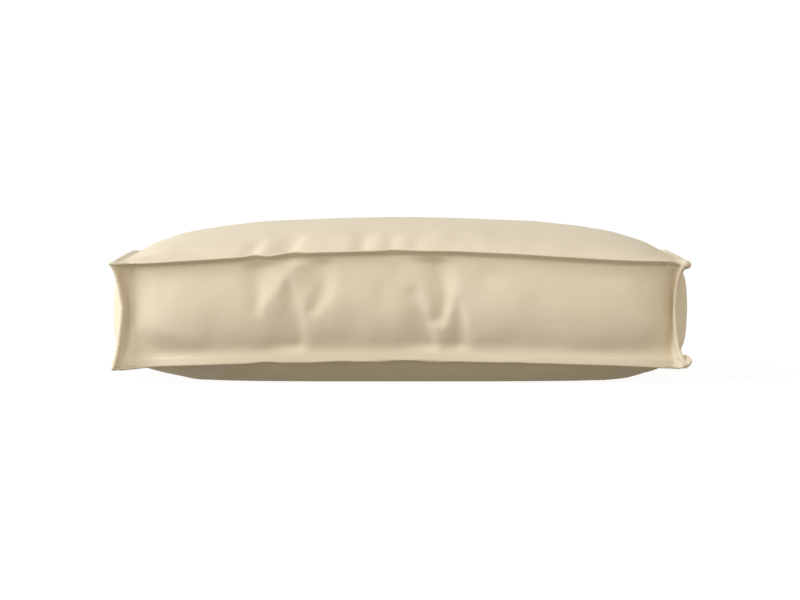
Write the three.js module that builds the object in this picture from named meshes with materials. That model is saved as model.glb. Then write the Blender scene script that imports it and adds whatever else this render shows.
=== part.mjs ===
// Square boxed seat cushion: one filled body with a narrow flat flange sewn along each of its seams.
// It lies on its underside, with its front towards -Y and the floor at Z = 0.
import * as THREE from 'three';
import { ParametricGeometry } from 'three/addons/geometries/ParametricGeometry.js';
import { mergeGeometries, mergeVertices } from 'three/addons/utils/BufferGeometryUtils.js';

// Driving dimensions, in millimetres
const seamHalf = 296; // half the side of the square that the top and bottom seams follow
const cornerTopSeam = 125; // height of the top seam at a corner
const cornerBottomSeam = 24; // height of the bottom seam at a corner
const cushionHeight = 170; // top of the crown
const bellyDepth = 44; // how far the underside would hang below its seam with nothing under it
const bellyRounding = 2.5; // height over which the underside rounds into its flat patch
const bellyAcross = 3.3; // how squarely the underside fills out, side to side and front to back
const bellyBack = 6;
const bowFullness = 5; // how squarely a long seam bows out between its corners
const pocketPlace = 12; // distance from a corner seam to the hollow beside it
const pocketWidth = 60; // distance from a corner seam in which that hollow dies out
const rimOut = 1.05; // half the flange's root, measured outwards
const rimUp = 1.05; // half the flange's root, measured upwards
const flangeWidth = 9;
const flangeTaper = 0.55; // thickness at the flange's edge as a share of its root
const topCornerLean = 15; // tilt of the top flange at a corner, in degrees
const bottomCornerLean = 42; // tilt of the bottom flange at a corner, in degrees
const topLeanFullness = 2; // how close to its corners a flange keeps the tilt of its side
const bottomLeanFullness = 6;
const cornerFlangeEnd = 11.5; // width of a corner flange where it meets the long ones
const cornerFlangeMiddle = 8.5; // width of a corner flange halfway up
const seamGap = 0.3; // clearance between the body and a flange
const foldEdgeFade = 9; // distance from a seam in which a fold dies out
const foldEndFade = 14; // distance in which a fold dies out past its top and foot
const foldRounding = 2; // rounding of a fold's deepest line

// Mesh steps along the cushion's width, depth and height
const widthSteps = 54;
const depthSteps = 26;
const heightSteps = 12;
const widthCrowding = 0.15; // share by which the steps narrow towards the seams
const depthCrowding = 0.5;
const heightCrowding = 0.3;

// Soft folds of each boxing panel, one row each, troughs negative and ridges positive.
// x runs to the right along the panel and z is the height; a fold goes from its top to its foot,
// bows sideways, and slopes back to the panel over a left and a right spread.
const frontFolds = [
  {
    topX: -149.6, topZ: 132.7, footX: -148.6, footZ: 65.5, bow: 0,
    rise: -4.5, footRise: -2.5, left: 23, footLeft: 17, right: 27, footRight: 8,
  },
  {
    topX: -104.5, topZ: 132.7, footX: -150.7, footZ: 65.5, bow: -3,
    rise: 3, footRise: 1, left: 23, footLeft: 8, right: 27, footRight: 21,
  },
  {
    topX: -83.5, topZ: 132.7, footX: -100.3, footZ: 65.5, bow: 8,
    rise: -4, footRise: -2.5, left: 27, footLeft: 9, right: 25, footRight: 15,
  },
  {
    topX: -117.1, topZ: 105.4, footX: -106.6, footZ: 27, bow: 6,
    rise: -1, footRise: -5, left: 6, footLeft: 55, right: 8, footRight: 13,
  },
  {
    topX: 33.1, topZ: 132.7, footX: 42.5, footZ: 65.5, bow: 10,
    rise: -4.5, footRise: -3, left: 27, footLeft: 15, right: 27, footRight: 13,
  },
  {
    topX: 14.2, topZ: 94.9, footX: 38.3, footZ: 27, bow: 4,
    rise: -1, footRise: -4, left: 8, footLeft: 31, right: 8, footRight: 15,
  },
  {
    topX: 61.4, topZ: 86.5, footX: 65.6, footZ: 27, bow: 0,
    rise: -1, footRise: -4, left: 6, footLeft: 23, right: 9, footRight: 23,
  },
];
const rightFolds = [
  {
    topX: -60, topZ: 118, footX: -40, footZ: 40, bow: 8,
    rise: -3, footRise: -2, left: 34, footLeft: 26, right: 24, footRight: 30,
  },
  {
    topX: 120, topZ: 112, footX: 96, footZ: 44, bow: -6,
    rise: -2, footRise: -3, left: 28, footLeft: 34, right: 32, footRight: 24,
  },
];
const backFolds = [
  {
    topX: 96, topZ: 122, footX: 70, footZ: 50, bow: -8,
    rise: -3.5, footRise: -2, left: 26, footLeft: 30, right: 30, footRight: 20,
  },
  {
    topX: -30, topZ: 90, footX: -64, footZ: 34, bow: 5,
    rise: -2, footRise: -3.5, left: 22, footLeft: 32, right: 26, footRight: 30,
  },
];
const leftFolds = [
  {
    topX: -110, topZ: 116, footX: -92, footZ: 46, bow: 6,
    rise: -3, footRise: -2, left: 30, footLeft: 24, right: 26, footRight: 32,
  },
  {
    topX: 70, topZ: 104, footX: 88, footZ: 38, bow: -5,
    rise: -2, footRise: -3, left: 26, footLeft: 30, right: 30, footRight: 24,
  },
];

// Dents of the top panel by the front seam, where z is the distance in from that seam
const topFolds = [
  {
    topX: -148, topZ: 44, footX: -163, footZ: 2, bow: 0,
    rise: -0.6, footRise: -3, left: 14, footLeft: 14, right: 12, footRight: 12,
  },
  {
    topX: -108, topZ: 52, footX: -122, footZ: 2, bow: 0,
    rise: -0.8, footRise: -3.4, left: 24, footLeft: 20, right: 18, footRight: 16,
  },
  {
    topX: -34, topZ: 48, footX: -44, footZ: 2, bow: 0,
    rise: -0.6, footRise: -2.8, left: 12, footLeft: 12, right: 18, footRight: 16,
  },
  {
    topX: -4, topZ: 40, footX: -12, footZ: 2, bow: 0,
    rise: -0.4, footRise: -2, left: 10, footLeft: 10, right: 14, footRight: 14,
  },
  {
    topX: 60, topZ: 36, footX: 48, footZ: 2, bow: 0,
    rise: -0.2, footRise: -0.9, left: 18, footLeft: 16, right: 16, footRight: 14,
  },
];

// The four sides, each turned a quarter further round: how far its seams arch up and bow out, how
// far its bottom seam stands back, the tilt of its flanges in degrees, how far its panel swells and
// whether that swell slumps, and how deep the hollows beside its corner seams are
const sides = [
  {
    name: 'front', turn: 0, steps: widthSteps, crowding: widthCrowding, folds: frontFolds,
    topArch: 12, bottomArch: 7.5, topBow: 16, bottomBow: 8, bottomBack: 9,
    topLean: 28, bottomLean: 86, swell: 7, slumps: true, leftPocket: 6.5, rightPocket: 0.5,
  },
  {
    name: 'right', turn: 1, steps: depthSteps, crowding: depthCrowding, folds: rightFolds,
    topArch: 0.5, bottomArch: 4, topBow: 1, bottomBow: -2, bottomBack: 0,
    topLean: 16, bottomLean: 60, swell: 11, slumps: false, leftPocket: 1.5, rightPocket: 3,
  },
  {
    name: 'back', turn: 2, steps: widthSteps, crowding: widthCrowding, folds: backFolds,
    topArch: 12, bottomArch: 7, topBow: 16, bottomBow: 8, bottomBack: 9,
    topLean: 28, bottomLean: 80, swell: 7, slumps: true, leftPocket: 4, rightPocket: 2.5,
  },
  {
    name: 'left', turn: 3, steps: depthSteps, crowding: depthCrowding, folds: leftFolds,
    topArch: 0, bottomArch: 4, topBow: -2.5, bottomBow: -2, bottomBack: 0,
    topLean: 30, bottomLean: 60, swell: 12.7, slumps: false, leftPocket: 2, rightPocket: 4,
  },
];

// How the swell of a slumping panel rises from its bottom seam (0) to its top seam (1)
const slumpedSection = [
  { lift: 0, swell: 0 },
  { lift: 0.08, swell: -0.05 },
  { lift: 0.17, swell: 0.4 },
  { lift: 0.26, swell: 0.78 },
  { lift: 0.34, swell: 0.97 },
  { lift: 0.42, swell: 1.04 },
  { lift: 0.5, swell: 1 },
  { lift: 0.63, swell: 0.76 },
  { lift: 0.74, swell: 0.49 },
  { lift: 0.85, swell: 0.24 },
  { lift: 1, swell: 0 },
];
const slump = new THREE.CubicInterpolant(
  slumpedSection.map((row) => row.lift),
  slumpedSection.map((row) => row.swell),
  1,
);

// Each corner seam, at its side's right end: how far it is pulled back from that side and from the
// next one halfway up, and how far its flange turns from the diagonal towards its side, in degrees
const corners = [
  { draw: 13.5, nextDraw: 5.8, bottomTurn: 5, middleTurn: 47, topTurn: 5, lateness: 7 },
  { draw: 9, nextDraw: 8, bottomTurn: -4, middleTurn: -12, topTurn: -6, lateness: 3 },
  { draw: 9, nextDraw: 9, bottomTurn: 6, middleTurn: 14, topTurn: 10, lateness: 3 },
  { draw: 5.2, nextDraw: 9, bottomTurn: -8, middleTurn: -41, topTurn: 8, lateness: 0.9 },
];

const up = 1;
const down = -1;
const upright = new THREE.Vector3(0, 0, 1);

const cloth = new THREE.MeshStandardMaterial({ color: 0xd8c8a6, roughness: 0.9, metalness: 0 });
const trim = new THREE.MeshStandardMaterial({ color: 0xd0bf9b, roughness: 0.9, metalness: 0 });

// Turns a step count and a crowding share into places from -1 to 1
function places(steps, crowding) {
  return Array.from({ length: steps + 1 }, (_, step) => {
    const even = (2 * step) / steps - 1;
    return (1 - crowding) * even + crowding * Math.sin((even * Math.PI) / 2);
  });
}

// One smooth sheet through point(column place, row place), facing along columns x rows
function sheet(columns, rows, point) {
  const place = (list, share) => list[Math.round(share * (list.length - 1))];
  const geometry = new ParametricGeometry(
    (u, v, target) => target.copy(point(place(columns, u), place(rows, v))),
    columns.length - 1,
    rows.length - 1,
  );
  geometry.deleteAttribute('normal');
  geometry.deleteAttribute('uv');
  return geometry;
}

function closedMesh(name, sheets, material) {
  const geometry = mergeVertices(mergeGeometries(sheets), 1e-3);
  geometry.computeVertexNormals();
  const mesh = new THREE.Mesh(geometry, material);
  mesh.name = name;
  return mesh;
}

// A point beside one side: along it, out from the cushion's middle, and up
function besideSide(side, along, out, height) {
  return new THREE.Vector3(along, -out, height).applyAxisAngle(upright, (side.turn * Math.PI) / 2);
}

function seamHeight(side, end, along) {
  const fall = 1 - along * along;
  if (end === down) return cornerBottomSeam + side.bottomArch * fall;
  return cornerTopSeam + side.topArch * fall * fall;
}

// How far out the corners of a side stand, and how far along it they lie
function cornerOut(side, end) {
  return seamHalf - (end === up ? 0 : side.bottomBack);
}

function sideAfter(side, quarters) {
  return sides[(side.turn + quarters) % sides.length];
}

function halfLength(side, end, along) {
  return cornerOut(sideAfter(side, along < 0 ? 3 : 1), end);
}

function seamOut(side, end, along) {
  const bow = end === up ? side.topBow : side.bottomBow;
  return cornerOut(side, end) + bow * (1 - Math.abs(along) ** bowFullness);
}

// Share of the corner seam's pull at a height place from -1 to 1: a soft kink halfway up
function drawShare(height) {
  const away = Math.abs(height);
  return 0.5 * (1 - away ** 1.5) + 0.5 * (1 - away ** 8);
}

// Swell of a boxing panel along its length and up its height
function swellAlong(along) {
  const away = Math.abs(along);
  return 1 - 0.15 * away ** 2 - 0.85 * away ** 10;
}

function swellUp(side, height) {
  if (side.slumps) return slump.evaluate((height + 1) / 2)[0];
  const away = Math.abs(height);
  return 1 - 0.35 * away ** 2 - 0.65 * away ** 5;
}

// Crown of the top panel across one of its directions
function crownShare(place) {
  const away = Math.abs(place);
  return 1 - 0.48 * away ** 2 - 0.52 * away ** 7.5;
}

function bellyShare(across, back) {
  return (1 - Math.abs(across) ** bellyAcross) * (1 - Math.abs(back) ** bellyBack);
}

// Hollow beside a corner seam, deepest a little way in from it
function pocketDepth(depth, inward, height) {
  const near = THREE.MathUtils.clamp(inward / pocketPlace, 0, 1);
  const past = THREE.MathUtils.clamp((inward - pocketPlace) / (pocketWidth - pocketPlace), 0, 1);
  return depth * near * (1 - past) ** 2 * (1 - Math.abs(height) ** 2.5);
}

// Depth that one fold adds at a place on its panel
function foldRise(fold, x, z) {
  const runX = fold.footX - fold.topX;
  const runZ = fold.footZ - fold.topZ;
  const length = Math.hypot(runX, runZ);
  const share = ((x - fold.topX) * runX + (z - fold.topZ) * runZ) / length ** 2;
  const onFold = THREE.MathUtils.clamp(share, 0, 1);
  const beyond = Math.abs(share - onFold) * length;
  const bow = fold.bow * 4 * onFold * (1 - onFold);
  const beside = ((z - fold.topZ) * runX - (x - fold.topX) * runZ) / length - bow;
  const softened = Math.hypot(beside, foldRounding) - foldRounding;
  const spread = beside < 0
    ? THREE.MathUtils.lerp(fold.left, fold.footLeft, onFold)
    : THREE.MathUtils.lerp(fold.right, fold.footRight, onFold);
  const near = Math.max(0, 1 - Math.hypot(softened / spread, beyond / foldEndFade));
  const rise = THREE.MathUtils.lerp(fold.rise, fold.footRise, onFold);
  return rise * near ** 2 * (1.6 - 0.6 * near);
}

// A boxing panel's surface: along from the side's left to its right, height from bottom to top
function boxingPoint(side, along, height) {
  const between = (low, high) => THREE.MathUtils.lerp(low, high, (height + 1) / 2);
  const bottom = seamHeight(side, down, along) + rimUp;
  const top = seamHeight(side, up, along) - rimUp;
  const z = between(bottom, top);
  const half = between(halfLength(side, down, along), halfLength(side, up, along)) - rimOut;
  const seams = between(seamOut(side, down, along), seamOut(side, up, along)) + rimOut;
  const atRight = along > 0;
  const corner = corners[sideAfter(side, atRight ? 0 : 3).turn];
  const drawBack = atRight ? corner.draw : corner.nextDraw;
  const drawIn = atRight ? corner.nextDraw : corner.draw;
  const pull = drawShare(height) * (1 - swellAlong(along));
  const x = along * half - Math.sign(along) * drawIn * pull;
  const inward = half - drawIn * drawShare(height) - Math.abs(x);
  const pocket = pocketDepth(atRight ? side.rightPocket : side.leftPocket, inward, height);
  const swell = side.swell * swellAlong(along) * swellUp(side, height);
  const out = seams - drawBack * pull - pocket + swell;
  const shown = THREE.MathUtils.smoothstep(Math.min(top - z, z - bottom), 0, foldEdgeFade);
  const folds = side.folds.reduce((sum, fold) => sum + foldRise(fold, x, z), 0);
  return besideSide(side, x, out + folds * shown, z);
}

function boxingPanel(side) {
  return sheet(places(side.steps, side.crowding), places(heightSteps, heightCrowding), (along, height) =>
    boxingPoint(side, along, height));
}

// Edge of the top or bottom panel beside one side
function facePanelEdge(side, end, along) {
  const half = halfLength(side, end, along) - rimOut;
  const height = seamHeight(side, end, along) + end * rimUp;
  return besideSide(side, along * half, seamOut(side, end, along) - rimOut, height);
}

// The seams' heights and bows carried in over a face panel, where they fade towards its middle
function facePanelBase(end, across, back) {
  const [front, right, rear, left] = sides;
  const nearer = back < 0 ? front : rear;
  const beside = across > 0 ? right : left;
  const corner = end === up ? cornerTopSeam : cornerBottomSeam;
  const nearerRise = seamHeight(nearer, end, across) - corner;
  const besideRise = seamHeight(beside, end, back) - corner;
  const z = corner + end * rimUp + nearerRise * back ** 2 + besideRise * across ** 2;
  const x = across * (seamOut(beside, end, back) - rimOut);
  const y = back * (seamOut(nearer, end, across) - rimOut);
  return new THREE.Vector3(x, y, z);
}

function topPanel() {
  const crown = cushionHeight - cornerTopSeam - rimUp;
  return sheet(places(widthSteps, widthCrowding), places(depthSteps, depthCrowding), (across, back) => {
    const point = facePanelBase(up, across, back);
    const inward = point.y + seamOut(sides[0], up, across) - rimOut;
    const shown = THREE.MathUtils.smoothstep(inward, 0, foldEdgeFade);
    const folds = topFolds.reduce((sum, fold) => sum + foldRise(fold, point.x, inward), 0);
    point.z += crown * crownShare(across) * crownShare(back) + folds * shown;
    return point;
  });
}

// The underside bellies down and lies flat where it rests
function bottomPanel() {
  const across = places(widthSteps, widthCrowding).reverse();
  return sheet(across, places(depthSteps, depthCrowding), (x, back) => {
    const point = facePanelBase(down, x, back);
    const hanging = point.z - bellyDepth * bellyShare(x, back);
    const rounded = (hanging + bellyRounding) ** 2 / (4 * bellyRounding);
    if (hanging < bellyRounding) point.z = hanging > -bellyRounding ? rounded : 0;
    else point.z = hanging;
    return point;
  });
}

// Narrow strip of the body under a long flange, from the boxing panel's edge to the face panel's
function longRim(side, end) {
  const along = places(side.steps, side.crowding);
  const edges = end === up ? [0, 1] : [1, 0];
  return sheet(along, edges, (place, onFace) => (onFace
    ? facePanelEdge(side, end, place)
    : boxingPoint(side, place, end)));
}

// Strip of the body under a corner flange, from one side's right edge to the next side's left edge
function cornerRim(side) {
  return sheet([0, 1], places(heightSteps, heightCrowding), (onNext, height) => (onNext
    ? boxingPoint(sideAfter(side, 1), -1, height)
    : boxingPoint(side, 1, height)));
}

// Small triangle where three strips meet
function cornerFacet(side, end) {
  const points = [
    boxingPoint(side, 1, end),
    boxingPoint(sideAfter(side, 1), -1, end),
    facePanelEdge(side, end, 1),
  ];
  if (end === down) points.reverse();
  const geometry = new THREE.BufferGeometry().setFromPoints(points);
  return geometry.setIndex([0, 1, 2]);
}

function cushionBody() {
  const facets = sides.flatMap((side) => [cornerFacet(side, up), cornerFacet(side, down)]);
  const rims = sides.flatMap((side) => [longRim(side, up), longRim(side, down), cornerRim(side)]);
  const panels = [topPanel(), bottomPanel(), ...sides.map(boxingPanel)];
  return closedMesh('cushion_body', [...panels, ...rims, ...facets], cloth);
}

// Distance along a flange's own way that leaves the seam gap to the body's slanting strip
function rootGap(way, otherWay) {
  return (seamGap * Math.SQRT2) / (way + otherWay);
}

// Cross-section of a long flange beside its seam, as places out and up from the seam
function flangeSection(side, end, along) {
  const [corner, middle, fullness] = end === up
    ? [topCornerLean, side.topLean, topLeanFullness]
    : [bottomCornerLean, side.bottomLean, bottomLeanFullness];
  const towardsMiddle = 1 - Math.abs(along) ** fullness;
  const lean = THREE.MathUtils.degToRad(THREE.MathUtils.lerp(corner, middle, towardsMiddle));
  const place = (face, reach, share) => ({
    out: Math.cos(lean) * reach + face * rimOut * share,
    rise: end * (Math.sin(lean) * reach - face * rimUp * share),
  });
  const root = rootGap(Math.cos(lean), Math.sin(lean));
  const edge = root + flangeWidth;
  const inner = -1;
  const outer = 1;
  return [
    place(inner, root, 1),
    place(outer, root, 1),
    place(outer, edge, flangeTaper),
    place(inner, edge, flangeTaper),
  ];
}

// A flange sewn round the whole of the top or bottom seam, mitred at its corners
function longFlange(name, end) {
  const loop = end === up ? [0, 1, 2, 3, 0] : [0, 3, 2, 1, 0];
  const faces = sides.flatMap((side) => loop.slice(0, -1).map((edge, index) =>
    sheet(places(side.steps, side.crowding), [edge, loop[index + 1]], (along, which) => {
      const { out, rise } = flangeSection(side, end, along)[which];
      const half = halfLength(side, end, along) + out;
      const height = seamHeight(side, end, along) + rise;
      return besideSide(side, along * half, seamOut(side, end, along) + out, height);
    })));
  return closedMesh(name, faces, trim);
}

// A flange standing out along a corner seam, between the two long flanges
function cornerFlange(side) {
  const next = sideAfter(side, 1);
  const corner = corners[side.turn];
  const rows = places(heightSteps, heightCrowding);
  const low = cornerBottomSeam + rimUp;
  const high = cornerTopSeam - rimUp;
  const endGap = 0.9;
  const endShare = (2 * endGap) / (high - low) / (1 - rows[rows.length - 2]);
  const rootPoint = (height) => {
    const between = (start, finish) => THREE.MathUtils.lerp(start, finish, (height + 1) / 2);
    return new THREE.Vector3(
      between(cornerOut(next, down), cornerOut(next, up)) - corner.nextDraw * drawShare(height),
      between(cornerOut(side, down), cornerOut(side, up)) - corner.draw * drawShare(height),
      between(low, high),
    );
  };
  // The flange's first and last rows stop just short of the long flanges, on the body's own facets
  const stations = rows.map((height, index) => {
    const inner = index === 0 ? rows[1] : rows[rows.length - 2];
    const atEnd = index === 0 || index === rows.length - 1;
    const root = rootPoint(height);
    if (atEnd) root.lerp(rootPoint(inner), endShare);
    return { root, height };
  });
  const section = ({ root, height }) => {
    const endTurn = height > 0 ? corner.topTurn : corner.bottomTurn;
    const turn = THREE.MathUtils.lerp(corner.middleTurn, endTurn, Math.abs(height) ** corner.lateness);
    const angle = THREE.MathUtils.degToRad(45 - turn);
    const wayAlong = Math.sin(angle);
    const wayOut = Math.cos(angle);
    const start = rootGap(wayAlong, wayOut);
    const width = THREE.MathUtils.lerp(cornerFlangeMiddle, cornerFlangeEnd, height ** 2);
    // A little flatter than the long flange it meets
    const endLean = THREE.MathUtils.degToRad(height > 0 ? topCornerLean : bottomCornerLean);
    const flare = (height ** 5 * Math.tan(endLean)) / 2;
    const point = (reach, across) => besideSide(
      side,
      root.x + wayAlong * (start + reach) - across * rimOut,
      root.y + wayOut * (start + reach) + across * rimOut,
      root.z + flare * reach,
    );
    return [point(0, 1), point(width, flangeTaper), point(width, -flangeTaper), point(0, -1)];
  };
  const sections = stations.map(section);
  const indices = stations.map((_, index) => index);
  const faces = [0, 1, 2, 3].map((edge) =>
    sheet([edge, (edge + 1) % 4], indices, (which, index) => sections[index][which]));
  const caps = [sections[0], sections[sections.length - 1]].map((loop, index) => {
    const geometry = new THREE.BufferGeometry().setFromPoints(loop);
    return geometry.setIndex(index === 0 ? [0, 2, 1, 0, 3, 2] : [0, 1, 2, 0, 2, 3]);
  });
  return closedMesh(`corner_flange_${side.name}_${sideAfter(side, 1).name}`, [...faces, ...caps], trim);
}

const cushion = new THREE.Group();
cushion.add(cushionBody());
cushion.add(longFlange('top_flange', up));
cushion.add(longFlange('bottom_flange', down));
sides.forEach((side) => cushion.add(cornerFlange(side)));

export default cushion;
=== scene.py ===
import math

import bpy
import numpy as np
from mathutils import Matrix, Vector
from mathutils.kdtree import KDTree


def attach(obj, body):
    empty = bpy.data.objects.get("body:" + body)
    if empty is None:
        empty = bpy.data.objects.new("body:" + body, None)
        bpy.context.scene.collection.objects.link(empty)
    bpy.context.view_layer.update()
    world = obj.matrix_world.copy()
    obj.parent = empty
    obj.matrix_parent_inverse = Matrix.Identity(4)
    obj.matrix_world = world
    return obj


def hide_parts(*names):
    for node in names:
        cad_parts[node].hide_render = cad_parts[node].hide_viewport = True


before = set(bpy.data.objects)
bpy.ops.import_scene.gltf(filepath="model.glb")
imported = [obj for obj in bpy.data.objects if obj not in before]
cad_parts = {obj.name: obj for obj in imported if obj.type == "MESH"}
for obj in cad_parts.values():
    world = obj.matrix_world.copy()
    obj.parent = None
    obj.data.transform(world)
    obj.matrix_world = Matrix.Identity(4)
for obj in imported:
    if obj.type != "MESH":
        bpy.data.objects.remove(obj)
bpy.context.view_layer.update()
scene = bpy.context.scene
millimetre = 0.001
print("frame loaded:", ", ".join(sorted(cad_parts)))

# Shape of the cover, in millimetres
cushion = {
    "seamHalf": 296.0,       # half the square that the long seams follow
    "cornerTopSeam": 125.0,
    "cornerBottomSeam": 24.0,
    "height": 170.0,         # top of the crown
    "crownFall": (0.48, 7.5),     # share of its fall that starts early, and power of the rest
    "bellyDepth": 44.5,
    "bellySquare": (0.22, 0.36),  # how boxy the belly is towards the left and the right
    "bellyPowers": (2.4, 16, 6),  # of its round part, of its boxy part and from front to back
    "bellyRounding": 2.5,         # how softly it comes to lie on the floor
    "swellAlong": (0.15, 10),     # fall of a side's swell along it and up it, like the crown's
    "swellUp": (0.35, 5),
    "drawPowers": (1.5, 8),       # how a corner seam's draw falls off from mid height
    "plungeWidth": 13.0,     # how far from a corner flange its plunge starts
    "groove": 1.8,           # depth of the groove beside it, and where that is deepest
    "grooveWidth": 2.6,
    "pocketValley": 12.0,    # how far in the floor of a side's hollow lies, and how round it is
    "pocketFloor": 0.15,
    "pocketFade": 2.5,
    "foldTopFade": 9.0,      # how far below the top seam and above the bottom seam folds fade
    "foldFootFade": 12.0,
    "foldEndFade": 14.0,     # and how far beyond their own ends
    "foldRounding": 2.0,
    "columns": 180,          # mesh columns across the front and the sides, and rows up them
    "sideColumns": 130,
    "rows": 44,
    "crowding": 0.55,        # how much the columns narrow towards the seams, and the rows
    "rowCrowding": 0.5,
    "rim": 1.05,             # how far short of a corner seam the panels stop
    "lip": 7,                # millimetres of cloth that run out onto a flange
    "faceFillet": 14,        # smoothing passes where the top and bottom panels meet a flange,
    "boxingFillet": 2,       # where the boxing meets a long one and where it meets a corner one
    "cornerFillet": 2,
}

flange = {
    "width": (9.0, 8.8),     # of the bottom and the top flange
    "rootHalf": 1.4,         # half the thickness at the root
    "edgeHalf": (1.75, 1.05),     # half the thickness of the edge, bottom and top
    "endReach": 12.6,        # width of a corner flange at its ends and at its middle
    "middleReach": 9.0,
    "edgePower": 7,          # how close to the ears its edge gets thick
    "flare": 0.7,            # how much its ends follow the lean of the long flanges,
    "steepest": 50,          # as far as this many degrees
    "buried": 2.5,           # how far a flange runs on inside the cover
    "buriedHalf": 0.2,       # and half its thickness there
    "lipLift": 0.05,         # how far the cover's lip lies over a flange's face
    "lipSink": (0.5, 3.2, 2.5),   # how far its end dips in, from which reach and over how much
    "leanPowers": (5, 2),    # how close to the corners the bottom and the top one change lean
    "ripples": ((1.8, 23), (1.4, 41)),    # degrees and length of the slow ripples
    "faceSteps": (2.5, 4.4),      # where the mesh has rows on a flange's faces
    "edgeSteps": 9,
    "longSteps": 150,
    "uprightSteps": 60,
    "earArm": 20.0,          # how far an ear runs along the flanges that meet in it
    "earOverlap": 3.0,
    "earGrain": 0.8,         # size of the mesh there
    "earSteps": (17, 6, 21),      # along a long arm, degrees round the corner, up the third arm
    "earFade": (0.7, 0.3),        # share of the arms that is smoothed, and where that fades
    "widerArm": 42.0,        # how far from a corner the long flanges grow wider
    "puffArm": 9.0,          # how far from a corner its puffed edge starts
}

# The four sides, a quarter turn further round each: how far their seams arch up, bow out and
# stand in at the bottom, how their flanges lean, how much the panel swells, and how deep and
# wide the hollows at its left and right ends are
sides = [
    {"name": "front", "topArch": 12.0, "bottomArch": 7.5, "topBow": 16.0, "bottomBow": 8.0,
     "bottomIn": 9.0, "topLean": 28, "bottomLean": 91, "swell": 7.0},
    {"name": "right", "topArch": 0.5, "bottomArch": 4.0, "topBow": 1.0, "bottomBow": -2.0,
     "bottomIn": 0.0, "topLean": 16, "bottomLean": 60, "swell": 11.0,
     "pockets": (1.5, 3.0), "pocketWidth": (60, 70)},
    {"name": "back", "topArch": 12.0, "bottomArch": 7.0, "topBow": 16.0, "bottomBow": 8.0,
     "bottomIn": 9.0, "topLean": 28, "bottomLean": 80, "swell": 7.0,
     "pockets": (4.0, 2.5), "pocketWidth": (70, 60)},
    {"name": "left", "topArch": 0.0, "bottomArch": 4.0, "topBow": -2.5, "bottomBow": -2.0,
     "bottomIn": 0.0, "topLean": 30, "bottomLean": 60, "swell": 10.0,
     "pockets": (2.0, 4.0), "pocketWidth": (60, 70)},
]

# The front's own two hollows change from mid height to the bottom seam, where they run far along
# it: the depth, how far in the floor lies, how round that is and where the hollow ends, at both,
# and between which heights that changes (0 is the middle and 1 the bottom seam)
frontHollows = [
    {"depth": (6.5, 12.0), "valley": (12, 30), "floor": (0.15, 0.9), "wide": (58, 112),
     "change": (0.25, 1.02)},
    {"depth": (0.5, 7.0), "valley": (5, 5), "floor": (0.15, 0.15), "wide": (60, 120),
     "change": (0.1, 0.9)},
]

# Upright section of the front and back panels, from the bottom seam (0) to the top seam (1)
slumpedSection = [
    (0.0, 0.0), (0.02, -0.04), (0.055, -0.055), (0.098, 0.07), (0.16, 0.40), (0.245, 0.76),
    (0.34, 0.97), (0.42, 1.04), (0.50, 1.0), (0.63, 0.76), (0.74, 0.49), (0.85, 0.24),
    (0.90, 0.17), (0.94, 0.11), (1.0, 0.0),
]

# Each corner flange, between one side's right edge and the next side's left edge. Its seam is
# drawn back from each of the two, mostly at mid height, and the plunge is the part of that which
# lies close beside the seam. It turns from the diagonal towards the first side (bottom, middle,
# top), late or early from a kink up its height. The edge is half its thickness there (middle,
# ends), and the leans are those of the two long flanges (bottom, top). The ears are rounded off,
# puff up and reach further (bottom, top) and are smoothed over a number of times, and the long
# flanges are wider there
corners = [
    {"name": "front_right", "draw": (13.5, 5.8), "drawPower": (1.6, 1), "plunge": (4.5, 1),
     "turn": (5, 47, 5), "late": 3.5, "kink": 0.0, "edge": (1.9, 4.4), "ownLean": (92, 32),
     "nextLean": (-25, -12), "round": 6.0, "puff": (2.6, 3.3), "spare": (3.6, 3.2),
     "soften": 12, "wider": (0.8, 0.0)},
    {"name": "right_back", "draw": (9, 8), "drawPower": (1, 1), "plunge": (2, 1),
     "turn": (-4, -12, -6), "late": 3, "kink": 0.0, "edge": (1.5, 1.8), "ownLean": (50, 16),
     "nextLean": (75, 16), "round": 3.5, "puff": (1.2, 1.2), "spare": (2.5, 1.5),
     "soften": 8, "wider": (0.5, 0.0)},
    {"name": "back_left", "draw": (9, 9), "drawPower": (1, 1), "plunge": (2, 2),
     "turn": (6, 14, 10), "late": 3, "kink": 0.0, "edge": (1.5, 1.8), "ownLean": (75, 12),
     "nextLean": (50, 12), "round": 2.5, "puff": (0.9, 0.9), "spare": (2.5, 1.5),
     "soften": 6, "wider": (0.5, 0.0)},
    {"name": "left_front", "draw": (5.2, 5), "drawPower": (1, 1), "plunge": (1, 0),
     "turn": (-8, -41, 8), "late": 0.9, "kink": 0.12, "edge": (2.4, 2.4), "ownLean": (56, 10),
     "nextLean": (90, 10), "round": 1.2, "puff": (0.6, 0.7), "spare": (4.5, 1.5),
     "soften": 4, "wider": (2.2, 0.0)},
]

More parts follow.
